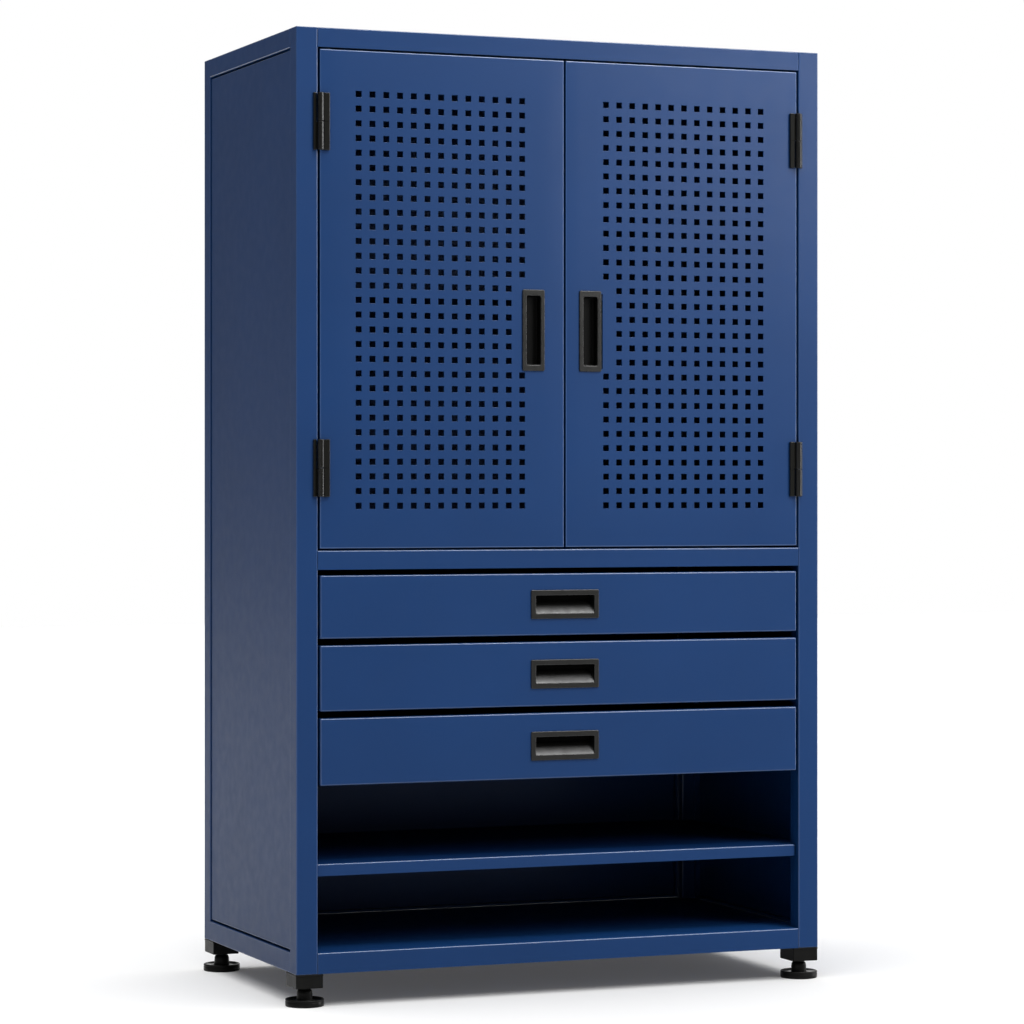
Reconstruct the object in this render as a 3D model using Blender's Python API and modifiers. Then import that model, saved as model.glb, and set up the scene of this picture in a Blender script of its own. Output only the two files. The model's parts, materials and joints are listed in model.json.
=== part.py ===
"""Locker cabinet: a bolted steel frame with two perforated doors, three drawers and an open bay.

Units are metres. The front faces -Y, +Z is up, and the origin is on the floor under the middle of the cabinet.
Positions below are cabinet positions: x from the left face, y back from the front face, z up from the frame's foot.
"""


import bmesh
import bpy
from mathutils import Matrix, Vector

# ---- overall size
WIDTH = 1.000
DEPTH = 0.538
HEIGHT = 1.628
FOOT_HEIGHT = 0.057

# ---- sheet metal
SHEET = 0.0015
EDGE = 0.0015
GAP = 0.0003
PAST = 0.010  # how far a cutter runs out past the piece it cuts
PANEL_GROOVE = 0.0035
PANEL_RECESS = 0.0025
PANEL_FOLD = 0.0095

# ---- frame
POST_WIDTH = 0.0394
POST_DEPTH = 0.034
TOP_RAIL = 0.0335
FLOOR_RAIL = 0.036
DIVIDER_LOW = 0.695
DIVIDER_HIGH = 0.728
SIDE_CLEAR = 0.015
BACK_CLEAR = 0.0155

# ---- shelves
SHELF_LOW = 0.167
SHELF_LIP = 0.0208
SHELF_SETBACK = 0.010
SHELF_END_GAP = 0.0031
LOCKER_SHELF_LOW = 1.1676
LOCKER_SHELF_LIP = 0.014  # no deeper than the sheet left between two rows of holes, so it hides behind it
LOCKER_SHELF_SETBACK = 0.024

# ---- doors
DOOR_SIDE_GAP = 0.0041
DOOR_END_GAP = 0.0035
DOOR_MIDDLE_GAP = 0.0039
DOOR_THICKNESS = 0.020
STIFFENER_WIDTH = 0.025
HOLE = 0.0107
HOLE_PITCH = 0.0254
HOLE_COLUMNS = 13
HOLE_ROWS = 29
PATTERN_FROM_MIDDLE = (0.2339, 0.2317)
PATTERN_HEIGHT = 1.1605
BLANK_ROWS = range(10, 16)

# ---- door pulls: a moulded cup set upright in each door
DOOR_PULL_WIDTH = 0.042
DOOR_PULL_HEIGHT = 0.143
DOOR_PULL_LOW = 1.042
DOOR_PULL_FROM_MIDDLE = (-0.0604, 0.0483)
DOOR_PULL_BAND = 0.0075
DOOR_PULL_END_BAND = 0.0105
DOOR_PULL_DEEP = 0.015

# ---- drawers, top one first: the height of each front's lower edge, and each front's height
FRONT_LOWS = (0.5760, 0.4510, 0.3232)
FRONT_HEIGHTS = (0.1090, 0.1133, 0.1156)
FRONT_SIDE_GAP = 0.0045
FRONT_DEPTH = 0.025
FRONT_FLANGE = 0.014
TRAY_RAISE = 0.008
TRAY_DROP = 0.020
TRAY_BACK = 0.500
DRAWER_TRAVEL = 0.360

# ---- drawer pulls: a moulded cup with a sloping floor
PULL_WIDTH = 0.1295
PULL_HEIGHT = 0.0507
PULL_SIDE_BAND = 0.0088
PULL_END_BAND = 0.0095
PULL_DEEP = 0.021
PULL_RIM = 0.0025
PULL_THROAT = 0.010
PULL_WALL = 0.002
PULL_SLEEVE_INSET = 0.0035

# ---- drawer slides
SLIDE_HEIGHT = 0.036
SLIDE_THICKNESS = 0.0127
SLIDE_WEB = 0.0016
SLIDE_CLEAR = 0.003
SLIDE_FRONT = 0.004
SLIDE_LENGTH = 0.488

# ---- lift-off hinges
HINGE_HEIGHT = 0.099
HINGE_MIDDLES = (0.870, 1.4660)
BARREL_RADIUS = 0.006
BARREL_FROM_GAP = 0.0012
PIN_RADIUS = 0.003
PIN_CLEARANCE = 0.00008
PIN_RISE = 0.030
KNUCKLE_GAP = 0.0006
POST_LEAF_REACH = (0.0108, 0.0085)  # left, right
DOOR_LEAF_REACH = (0.0186, 0.0167)
POST_LEAF_THICKNESS = 0.0030
DOOR_LEAF_THICKNESS = 0.0050
DOOR_SWING = 165.0

# ---- feet
BLOCK_WIDTH = 0.050
BLOCK_DEPTH = 0.0565
BLOCK_HEIGHT = 0.0245
DISC_RADIUS = 0.0335
DISC_HEIGHT = 0.0128
HUB_RADIUS = 0.0135
HUB_TOP = 0.0285
STUD_RADIUS = 0.009
STUD_CLEARANCE = 0.0003
STUD_RISE = 0.022
STUD_BORE = 0.0228
FOOT_TRAVEL = 0.012

# ---- catch
CATCH_WIDTH = 0.062
CATCH_DEPTH = 0.018
CATCH_HEIGHT = 0.013

# ---- where the cabinet stands in its own frame
DISC_OVERHANG = DISC_RADIUS - BLOCK_DEPTH / 2
HINGE_OVERHANG = 2 * BARREL_RADIUS - GAP
FRONT_Y = -(DEPTH + DISC_OVERHANG - HINGE_OVERHANG) / 2
LEFT_X = -WIDTH / 2
FRAME_Z = FOOT_HEIGHT

POWDER_BLUE = (0.036, 0.072, 0.190)
POWDER_BLUE_SIDE = (0.050, 0.072, 0.150)
BLACK_PLASTIC = (0.012, 0.012, 0.012)
BLACK_STEEL = (0.016, 0.016, 0.017)
ZINC = (0.45, 0.46, 0.47)

parts = None
cutters = None


def clear_scene():
    for item in list(bpy.data.objects):
        bpy.data.objects.remove(item)


def new_collection(name):
    made = bpy.data.collections.new(name)
    bpy.context.scene.collection.children.link(made)
    return made


def point(x, y, z):
    """A cabinet position as a point in the part's own frame."""
    return Vector((LEFT_X + x, FRONT_Y + y, FRAME_Z + z))


def paint(item, name, colour, roughness, metallic):
    """Gives an object its own Principled material."""
    material = bpy.data.materials.new(name)
    material.use_nodes = True
    shader = material.node_tree.nodes["Principled BSDF"]
    shader.inputs["Base Color"].default_value = (*colour, 1.0)
    shader.inputs["Roughness"].default_value = roughness
    shader.inputs["Metallic"].default_value = metallic
    item.data.materials.append(material)


def paint_blue(item):
    paint(item, item.name + "_powder_coat", POWDER_BLUE, 0.5, 0.0)


def paint_black(item):
    paint(item, item.name + "_black_plastic", BLACK_PLASTIC, 0.45, 0.0)


def paint_zinc(item):
    paint(item, item.name + "_zinc_plate", ZINC, 0.4, 1.0)


def link(item, collection=None):
    (collection or parts).objects.link(item)
    return item


def object_from(bm, name, origin, collection=None):
    """An object at origin that holds a mesh built round the world's zero in world places."""
    mesh = bpy.data.meshes.new(name)
    bmesh.ops.translate(bm, verts=bm.verts, vec=-origin)
    bm.to_mesh(mesh)
    bm.free()
    item = bpy.data.objects.new(name, mesh)
    item.location = origin
    return link(item, collection)


def add_block(bm, low, high):
    """Adds a box between two cabinet positions, and returns its vertices."""
    a, b = point(*low), point(*high)
    size = Matrix.Diagonal((*(b - a), 1.0))
    made = bmesh.ops.create_cube(bm, size=1.0, matrix=Matrix.Translation((a + b) / 2) @ size)
    return made["verts"]


def block(name, low, high, edge=0.0, collection=None):
    """A box between two cabinet positions, with its outer edges broken by a bevel."""
    bm = bmesh.new()
    add_block(bm, low, high)
    item = object_from(bm, name, (point(*low) + point(*high)) / 2, collection)
    if edge:
        bevel = item.modifiers.new("edges", "BEVEL")
        bevel.width = edge
        bevel.segments = 1
    return item


def hide_cutter(item):
    item.hide_render = True
    item.display_type = "WIRE"
    return item


def boolean(item, other, operation):
    made = item.modifiers.new(other.name, "BOOLEAN")
    made.operation = operation
    made.object = other
    made.solver = "EXACT"
    return item


def cut(item, low, high):
    """Takes a box out of an object."""
    number = len(cutters.objects)
    other = hide_cutter(block(f"cut_{number:03d}", low, high, collection=cutters))
    return boolean(item, other, "DIFFERENCE")


def join(item, low, high):
    """Welds a box to an object."""
    number = len(cutters.objects)
    other = hide_cutter(block(f"weld_{number:03d}", low, high, collection=cutters))
    return boolean(item, other, "UNION")


def turned(name, centre, outline, collection=None, steps=32):
    """A turned solid about +Z through centre. outline is (radius, height) from the top down, on its outer side."""
    mesh = bpy.data.meshes.new(name)
    edges = [(i, i + 1) for i in range(len(outline) - 1)]
    mesh.from_pydata([(r, 0.0, z) for r, z in outline], edges, [])
    item = link(bpy.data.objects.new(name, mesh), collection)
    item.location = centre
    screw = item.modifiers.new("turn", "SCREW")
    screw.steps = steps
    screw.render_steps = steps
    screw.use_merge_vertices = True
    screw.merge_threshold = 0.00005
    screw.use_smooth_shade = True
    return item


def mirrored(left, x_low, x_high):
    """The stretch x_low..x_high, or its mirror image about the cabinet's middle when left is False."""
    return (x_low, x_high) if left else (WIDTH - x_high, WIDTH - x_low)


def side_name(left):
    return "left" if left else "right"


def parent_to(item, holder):
    """Parents an object to an empty without moving it."""
    item.parent = holder
    item.matrix_parent_inverse = Matrix.Translation(holder.location).inverted()
    return item


def holder_at(name, where):
    made = bpy.data.objects.new(name, None)
    made.location = where
    return link(made)


# ---- frame


def build_posts():
    for left in (True, False):
        x0, x1 = mirrored(left, 0.0, POST_WIDTH)
        for place, y0 in (("front", 0.0), ("rear", DEPTH - POST_DEPTH)):
            y1 = y0 + POST_DEPTH
            post = block(f"{place}_{side_name(left)}_post", (x0, y0, 0), (x1, y1, HEIGHT), EDGE)
            low = (x0 + SHEET, y0 + SHEET, -PAST)
            cut(post, low, (x1 - SHEET, y1 - SHEET, HEIGHT - SHEET))
            paint_blue(post)


def build_side_rails():
    """Channels between the posts, open towards the inside."""
    y0, y1 = POST_DEPTH + GAP, DEPTH - POST_DEPTH - GAP
    heights = (("top", HEIGHT - TOP_RAIL, HEIGHT), ("bottom", 0.0, FLOOR_RAIL - 0.0005))
    for left in (True, False):
        x0, x1 = mirrored(left, 0.0, POST_WIDTH)
        c0, c1 = mirrored(left, SHEET, POST_WIDTH + PAST)
        for place, z0, z1 in heights:
            rail = block(f"{place}_{side_name(left)}_rail", (x0, y0, z0), (x1, y1, z1), EDGE)
            cut(rail, (c0, y0 + SHEET, z0 + SHEET), (c1, y1 - SHEET, z1 - SHEET))
            paint_blue(rail)


def build_end_pan(name, z0, z1):
    """A pan between the posts at the top or the foot, open below; its lips are the front and rear rails."""
    x0, x1 = POST_WIDTH + GAP, WIDTH - POST_WIDTH - GAP
    pan = block(name, (x0, 0.0, z0), (x1, DEPTH, z1), EDGE)
    cut(pan, (x0 + SHEET, SHEET, z0 - PAST), (x1 - SHEET, DEPTH - SHEET, z1 - SHEET))
    paint_blue(pan)


def build_shelf_pan(name, setback, z0, z1, front_gap):
    """A pan open below that fills the cabinet's inside, notched round the four posts."""
    x0, x1 = SIDE_CLEAR, WIDTH - SIDE_CLEAR
    y0, y1 = setback, DEPTH - BACK_CLEAR
    f0, f1 = POST_WIDTH + front_gap, WIDTH - POST_WIDTH - front_gap
    n0, n1 = POST_DEPTH + GAP, DEPTH - POST_DEPTH - GAP
    pan = block(name, (f0, y0, z0), (f1, y1, z1), EDGE)
    join(pan, (x0, n0, z0), (x1, n1, z1))
    cut(pan, (f0 + SHEET, y0 + SHEET, z0 - PAST), (f1 - SHEET, y1 - SHEET, z1 - SHEET))
    cut(pan, (x0 + SHEET, n0 + SHEET, z0 - PAST), (x1 - SHEET, n1 - SHEET, z1 - SHEET))
    paint_blue(pan)


def build_side_panel(left):
    """A shallow tray set into the side, with a flange behind that closes the groove round it."""
    y0 = POST_DEPTH + PANEL_GROOVE
    y1 = DEPTH - y0
    z0, z1 = FLOOR_RAIL - 0.0005 + PANEL_GROOVE, HEIGHT - TOP_RAIL - PANEL_GROOVE
    fold = PANEL_RECESS + PANEL_FOLD
    skin = mirrored(left, PANEL_RECESS, fold + SHEET)
    flange = mirrored(left, fold, fold + SHEET)
    hollow = mirrored(left, PANEL_RECESS + SHEET, fold + PAST)
    panel = block(f"{side_name(left)}_side_panel", (skin[0], y0, z0), (skin[1], y1, z1))
    reach = PANEL_GROOVE - GAP
    join(panel, (flange[0], y0 - reach, z0 - reach), (flange[1], y1 + reach, z1 + reach))
    low = (hollow[0], y0 + SHEET, z0 + SHEET)
    cut(panel, low, (hollow[1], y1 - SHEET, z1 - SHEET))
    paint(panel, panel.name + "_powder_coat", POWDER_BLUE_SIDE, 0.5, 0.0)


def build_back_panel():
    """The same tray, set into the rear between the posts and the pans' rear lips."""
    x0 = POST_WIDTH + PANEL_GROOVE
    x1 = WIDTH - x0
    z0, z1 = FLOOR_RAIL + PANEL_GROOVE, HEIGHT - TOP_RAIL - PANEL_GROOVE
    y1 = DEPTH - PANEL_RECESS
    y0 = y1 - PANEL_FOLD - SHEET
    reach = PANEL_GROOVE - GAP
    panel = block("back_panel", (x0, y0, z0), (x1, y1, z1))
    join(panel, (x0 - reach, y0, z0 - reach), (x1 + reach, y0 + SHEET, z1 + reach))
    cut(panel, (x0 + SHEET, y0 - PAST, z0 + SHEET), (x1 - SHEET, y1 - SHEET, z1 - SHEET))
    paint(panel, panel.name + "_powder_coat", POWDER_BLUE_SIDE, 0.5, 0.0)


# ---- doors


def door_edges(left):
    """Left, right, lower and upper edge of a door."""
    outer = POST_WIDTH + DOOR_SIDE_GAP
    inner = WIDTH / 2 - DOOR_MIDDLE_GAP / 2
    x0, x1 = mirrored(left, outer, inner)
    return x0, x1, DIVIDER_HIGH + DOOR_END_GAP, HEIGHT - TOP_RAIL - DOOR_END_GAP


def hole_centres(left):
    """Middles of a door's punched holes; the column by the pull has a blank stretch."""
    side = -1 if left else 1
    first = PATTERN_FROM_MIDDLE[0 if left else 1] - HOLE_PITCH * (HOLE_COLUMNS - 1) / 2
    lowest = PATTERN_HEIGHT - HOLE_PITCH * (HOLE_ROWS - 1) / 2
    for column in range(HOLE_COLUMNS):
        for row in range(HOLE_ROWS):
            if column == 0 and row in BLANK_ROWS:
                continue
            yield WIDTH / 2 + side * (first + column * HOLE_PITCH), lowest + row * HOLE_PITCH


def punch_holes(skin, left):
    """Cuts every hole with one cutter made of as many small cubes."""
    bm = bmesh.new()
    half = HOLE / 2
    for x, z in hole_centres(left):
        add_block(bm, (x - half, -PAST, z - half), (x + half, SHEET + PAST, z + half))
    middle = point(WIDTH / 2, 0, PATTERN_HEIGHT)
    other = object_from(bm, f"punch_{side_name(left)}", middle, cutters)
    boolean(skin, hide_cutter(other), "DIFFERENCE")


def pull_middle(left):
    return WIDTH / 2 + DOOR_PULL_FROM_MIDDLE[0 if left else 1]


def build_door_skin(left):
    x0, x1, z0, z1 = door_edges(left)
    skin = block(f"{side_name(left)}_door_skin", (x0, 0.0, z0), (x1, SHEET, z1))
    punch_holes(skin, left)
    half = DOOR_PULL_WIDTH / 2 - PULL_SLEEVE_INSET + GAP
    x = pull_middle(left)
    low = DOOR_PULL_LOW + PULL_SLEEVE_INSET - GAP
    high = DOOR_PULL_LOW + DOOR_PULL_HEIGHT - PULL_SLEEVE_INSET + GAP
    cut(skin, (x - half, -PAST, low), (x + half, SHEET + PAST, high))
    paint_blue(skin)
    return skin


def build_door_stiffener(left):
    """A folded channel that runs round the back of the skin, open towards it."""
    x0, x1, z0, z1 = door_edges(left)
    y0, y1 = SHEET + GAP, DOOR_THICKNESS
    wide = STIFFENER_WIDTH
    inset = 0.0002
    ring = block(
        f"{side_name(left)}_door_stiffener", (x0 + inset, y0, z0 + inset), (x1 - inset, y1, z1 - inset)
    )
    channel = hide_cutter(
        block(
            f"channel_{side_name(left)}",
            (x0 + inset + SHEET, y0 - PAST, z0 + inset + SHEET),
            (x1 - inset - SHEET, y1 - SHEET, z1 - inset - SHEET),
            collection=cutters,
        )
    )
    web = SHEET
    cut(channel, (x0 + wide - web, y0 - PAST, z0 + wide - web), (x1 - wide + web, y1 + PAST, z1 - wide + web))
    cut(ring, (x0 + wide, y0 - PAST, z0 + wide), (x1 - wide, y1 + PAST, z1 - wide))
    boolean(ring, channel, "DIFFERENCE")
    paint_blue(ring)
    return ring


def build_door_pull(left):
    """A rim that stands on the skin and a sleeve through it, with a straight-sided cup."""
    x = pull_middle(left)
    half = DOOR_PULL_WIDTH / 2
    z0, z1 = DOOR_PULL_LOW, DOOR_PULL_LOW + DOOR_PULL_HEIGHT
    rim = PULL_RIM + GAP
    pull = block(f"{side_name(left)}_door_pull", (x - half, -rim, z0), (x + half, -GAP, z1), 0.001)
    inset = PULL_SLEEVE_INSET
    deep = DOOR_PULL_DEEP
    join(pull, (x - half + inset, -GAP - 0.001, z0 + inset), (x + half - inset, deep, z1 - inset))
    band, end_band = DOOR_PULL_BAND, DOOR_PULL_END_BAND
    cut(
        pull,
        (x - half + band, -PAST, z0 + end_band),
        (x + half - band, deep - PULL_WALL, z1 - end_band),
    )
    paint_black(pull)
    return pull


def hinge_gap_middle(left):
    gap = POST_WIDTH + DOOR_SIDE_GAP / 2
    return gap if left else WIDTH - gap


def pin_x(left):
    """The pin stands over the gap, a little to the door's side."""
    towards_door = 1 if left else -1
    return hinge_gap_middle(left) + towards_door * BARREL_FROM_GAP


def hinge_leaf(name, left, on_door, z0, z1):
    """The flat leaf of one hinge half, from its free edge to the pin's line."""
    axis = pin_x(left)
    side = 0 if left else 1
    reach = DOOR_LEAF_REACH[side] if on_door else -POST_LEAF_REACH[side]
    towards_door = 1 if left else -1
    edge = hinge_gap_middle(left) + towards_door * reach
    thick = DOOR_LEAF_THICKNESS if on_door else POST_LEAF_THICKNESS
    low = (min(axis, edge), -thick - GAP, z0)
    return block(name, low, (max(axis, edge), -GAP, z1))


def round_bar(name, left, radius, z0, z1):
    """A cutter or weld piece round the pin's line."""
    bm = bmesh.new()
    bmesh.ops.create_cone(
        bm, cap_ends=True, segments=24, radius1=radius, radius2=radius, depth=z1 - z0
    )
    number = len(cutters.objects)
    where = point(pin_x(left), -BARREL_RADIUS, (z0 + z1) / 2)
    bmesh.ops.translate(bm, verts=bm.verts, vec=where)
    return hide_cutter(object_from(bm, f"{name}_{number:03d}", where, cutters))


def build_hinge(left, place, middle):
    """A lift-off hinge: the post's half carries the pin, and the door's half drops over it."""
    z0, z1 = middle - HINGE_HEIGHT / 2, middle + HINGE_HEIGHT / 2
    knuckle = BARREL_RADIUS - GAP
    clear = BARREL_RADIUS + 0.0004
    low_top, high_foot = middle - KNUCKLE_GAP / 2, middle + KNUCKLE_GAP / 2
    stem = f"{place}_{side_name(left)}_hinge"

    fixed = hinge_leaf(stem + "_post_half", left, False, z0, z1)
    boolean(fixed, round_bar("clear", left, clear, middle - KNUCKLE_GAP, z1 + PAST), "DIFFERENCE")
    boolean(fixed, round_bar("knuckle", left, knuckle, z0, low_top), "UNION")
    boolean(fixed, round_bar("pin", left, PIN_RADIUS, z0 + 0.001, middle + PIN_RISE), "UNION")
    paint_black(fixed)

    moving = hinge_leaf(stem + "_door_half", left, True, z0, z1)
    boolean(moving, round_bar("clear", left, clear, z0 - PAST, middle + KNUCKLE_GAP), "DIFFERENCE")
    boolean(moving, round_bar("knuckle", left, knuckle, high_foot, z1), "UNION")
    bore = PIN_RADIUS + PIN_CLEARANCE
    bored = round_bar("bore", left, bore, high_foot - PAST, middle + PIN_RISE + 0.002)
    boolean(moving, bored, "DIFFERENCE")
    paint_black(moving)
    return moving


def build_door(left):
    swing = holder_at(f"{side_name(left)}_door_swing", point(pin_x(left), -BARREL_RADIUS, PATTERN_HEIGHT))
    pieces = [build_door_skin(left), build_door_stiffener(left), build_door_pull(left)]
    for place, middle in zip(("lower", "upper"), HINGE_MIDDLES):
        pieces.append(build_hinge(left, place, middle))
    for piece in pieces:
        parent_to(piece, swing)


# ---- drawers


def build_drawer_front(number, z0, z1):
    """A folded front, hollow behind, with a return flange that the tray is fixed to."""
    x0, x1 = POST_WIDTH + FRONT_SIDE_GAP, WIDTH - POST_WIDTH - FRONT_SIDE_GAP
    front = block(f"drawer_{number}_front", (x0, 0.0, z0), (x1, FRONT_DEPTH, z1), EDGE)
    y0, y1 = SHEET, FRONT_DEPTH - SHEET
    cut(front, (x0 + SHEET, y0, z0 + SHEET), (x1 - SHEET, y1, z1 - SHEET))
    flange = FRONT_FLANGE
    cut(front, (x0 + flange, y0 + 0.002, z0 + flange), (x1 - flange, FRONT_DEPTH + PAST, z1 - flange))
    inset = PULL_SLEEVE_INSET - GAP
    half = PULL_WIDTH / 2 - inset
    p0, p1 = pull_heights(z0, z1)
    middle = WIDTH / 2
    cut(front, (middle - half, -PAST, p0 + inset), (middle + half, y0 + 0.001, p1 - inset))
    paint_blue(front)
    return front


def pull_heights(z0, z1):
    """Lower and upper edge of the pull, which sits at the middle of its front."""
    middle = (z0 + z1) / 2
    return middle - PULL_HEIGHT / 2, middle + PULL_HEIGHT / 2


def build_drawer_tray(number, z0, z1):
    x0 = POST_WIDTH + GAP + SLIDE_THICKNESS + GAP
    x1 = WIDTH - x0
    y0, y1 = FRONT_DEPTH + GAP, TRAY_BACK
    low, high = z0 + TRAY_RAISE, z1 - TRAY_DROP
    tray = block(f"drawer_{number}_tray", (x0, y0, low), (x1, y1, high))
    cut(tray, (x0 + SHEET, y0 + SHEET, low + SHEET), (x1 - SHEET, y1 - SHEET, high + PAST))
    paint_blue(tray)
    return tray


def build_drawer_pull(number, z0, z1):
    """A rim, a sleeve, and a cup whose floor slopes from its deep top to the lower lip."""
    p0, p1 = pull_heights(z0, z1)
    middle, half = WIDTH / 2, PULL_WIDTH / 2
    rim = PULL_RIM + GAP
    pull = block(f"drawer_{number}_pull", (middle - half, -rim, p0), (middle + half, -GAP, p1), 0.001)
    inset = PULL_SLEEVE_INSET
    join(
        pull, (middle - half + inset, -GAP - 0.001, p0 + inset), (middle + half - inset, PULL_DEEP, p1 - inset)
    )
    bm = bmesh.new()
    c0, c1 = p0 + PULL_END_BAND, p1 - PULL_END_BAND
    front, back = -PAST, PULL_DEEP - PULL_WALL
    verts = add_block(
        bm, (middle - half + PULL_SIDE_BAND, front, c0), (middle + half - PULL_SIDE_BAND, back, c1)
    )
    slope_top = point(0, 0, c1 - PULL_THROAT).z
    lip = point(0, -PULL_RIM, 0).y
    middle_z = point(0, 0, (c0 + c1) / 2).z
    middle_y = point(0, (front + back) / 2, 0).y
    for vert in verts:
        if vert.co.y > middle_y and vert.co.z < middle_z:
            vert.co.z = slope_top
    for vert in verts:
        if vert.co.y < middle_y and vert.co.z < middle_z:
            vert.co.z -= (slope_top - vert.co.z) * (lip - vert.co.y) / (point(0, back, 0).y - lip)
    cup = object_from(bm, f"cup_{number}", point(middle, 0, (p0 + p1) / 2), cutters)
    boolean(pull, hide_cutter(cup), "DIFFERENCE")
    paint_black(pull)
    return pull


def slide_heights(z0):
    low = z0 + TRAY_RAISE + 0.012
    return low, low + SLIDE_HEIGHT


def build_outer_slide(number, left, z0):
    """The channel fixed to the posts, open towards the drawer."""
    low, high = slide_heights(z0)
    x0, x1 = mirrored(left, POST_WIDTH + GAP, POST_WIDTH + GAP + SLIDE_THICKNESS - SLIDE_CLEAR)
    c0, c1 = mirrored(left, POST_WIDTH + GAP + SLIDE_WEB, POST_WIDTH + 0.02)
    y0 = FRONT_DEPTH + SLIDE_FRONT
    y1 = y0 + SLIDE_LENGTH
    slide = block(f"drawer_{number}_{side_name(left)}_outer_slide", (x0, y0, low), (x1, y1, high))
    cut(slide, (c0, y0 - PAST, low + SLIDE_WEB), (c1, y1 + PAST, high - SLIDE_WEB))
    paint_zinc(slide)


def build_inner_slide(number, left, z0):
    """The member fixed to the tray, which runs inside the outer channel."""
    low, high = slide_heights(z0)
    clear = SLIDE_WEB + 0.0005
    start = POST_WIDTH + GAP + clear
    end = POST_WIDTH + GAP + SLIDE_THICKNESS
    x0, x1 = mirrored(left, start, end)
    c0, c1 = mirrored(left, start - PAST, end - SLIDE_WEB)
    y0 = FRONT_DEPTH + SLIDE_FRONT + 0.001
    y1 = TRAY_BACK - 0.002
    slide = block(
        f"drawer_{number}_{side_name(left)}_inner_slide", (x0, y0, low + clear), (x1, y1, high - clear)
    )
    cut(slide, (c0, y0 - PAST, low + clear + SLIDE_WEB), (c1, y1 + PAST, high - clear - SLIDE_WEB))
    paint_zinc(slide)
    return slide


def build_drawer(number, z0, height):
    z1 = z0 + height
    run = holder_at(f"drawer_{number}_run", point(WIDTH / 2, 0, z0))
    pieces = [
        build_drawer_front(number, z0, z1),
        build_drawer_tray(number, z0, z1),
        build_drawer_pull(number, z0, z1),
    ]
    for left in (True, False):
        build_outer_slide(number, left, z0)
        pieces.append(build_inner_slide(number, left, z0))
    for piece in pieces:
        parent_to(piece, run)


# ---- feet and catch


def foot_middle(left, front):
    x = BLOCK_WIDTH / 2
    y = BLOCK_DEPTH / 2
    return (x if left else WIDTH - x), (y if front else DEPTH - y)


def build_foot(left, front):
    x, y = foot_middle(left, front)
    place = "front" if front else "rear"
    stem = f"{place}_{side_name(left)}"
    low = (x - BLOCK_WIDTH / 2, y - BLOCK_DEPTH / 2, -BLOCK_HEIGHT)
    high = (x + BLOCK_WIDTH / 2, y + BLOCK_DEPTH / 2, -GAP)
    holder = block(stem + "_foot_block", low, high, 0.001)
    bore = STUD_RADIUS + STUD_CLEARANCE
    ceiling = -BLOCK_HEIGHT + STUD_BORE
    bore_name = f"bore_{stem}"
    foot = point(x, y, 0)
    outline = [(0.0, ceiling), (bore, ceiling), (bore, -BLOCK_HEIGHT - PAST), (0.0, -BLOCK_HEIGHT - PAST)]
    cutter = hide_cutter(turned(bore_name, foot, outline, cutters, 24))
    boolean(holder, cutter, "DIFFERENCE")
    paint_black(holder)

    floor = -FOOT_HEIGHT
    rim = floor + DISC_HEIGHT
    hub = floor + HUB_TOP
    stud = -BLOCK_HEIGHT + STUD_RISE
    shape = [
        (0.0, stud),
        (STUD_RADIUS - 0.001, stud),
        (STUD_RADIUS, stud - 0.001),
        (STUD_RADIUS, hub),
        (HUB_RADIUS - 0.002, hub),
        (HUB_RADIUS, hub - 0.003),
        (HUB_RADIUS + 0.0008, rim - 0.003),
        (DISC_RADIUS - 0.006, rim - 0.003),
        (DISC_RADIUS - 0.004, rim),
        (DISC_RADIUS - 0.0015, rim),
        (DISC_RADIUS, rim - 0.0015),
        (DISC_RADIUS, floor + 0.002),
        (DISC_RADIUS - 0.002, floor),
        (0.0, floor),
    ]
    paint_black(turned(stem + "_levelling_foot", foot, shape, steps=32))


def build_catch():
    """A double magnetic catch under the top, behind the doors' meeting edges."""
    middle = WIDTH / 2
    z1 = HEIGHT - TOP_RAIL - GAP
    y0 = DOOR_THICKNESS + 0.0006
    low = (middle - CATCH_WIDTH / 2, y0, z1 - CATCH_HEIGHT)
    catch = block("door_catch", low, (middle + CATCH_WIDTH / 2, y0 + CATCH_DEPTH, z1), 0.001)
    paint_black(catch)


def main():
    global parts, cutters
    clear_scene()
    parts = new_collection("locker_cabinet")
    cutters = new_collection("cutters")
    build_posts()
    build_side_rails()
    build_end_pan("top_pan", HEIGHT - TOP_RAIL, HEIGHT)
    build_end_pan("floor_pan", 0.0, FLOOR_RAIL)
    build_shelf_pan("divider_pan", 0.0, DIVIDER_LOW, DIVIDER_HIGH, GAP)
    build_shelf_pan("bay_shelf", SHELF_SETBACK, SHELF_LOW, SHELF_LOW + SHELF_LIP, SHELF_END_GAP)
    locker_top = LOCKER_SHELF_LOW + LOCKER_SHELF_LIP
    build_shelf_pan("locker_shelf", LOCKER_SHELF_SETBACK, LOCKER_SHELF_LOW, locker_top, SHELF_END_GAP)
    for left in (True, False):
        build_side_panel(left)
        build_door(left)
    build_back_panel()
    for number, (low, height) in enumerate(zip(FRONT_LOWS, FRONT_HEIGHTS), start=1):
        build_drawer(number, low, height)
    for left in (True, False):
        for front in (True, False):
            build_foot(left, front)
    build_catch()


main()
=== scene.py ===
import json
import math

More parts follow.
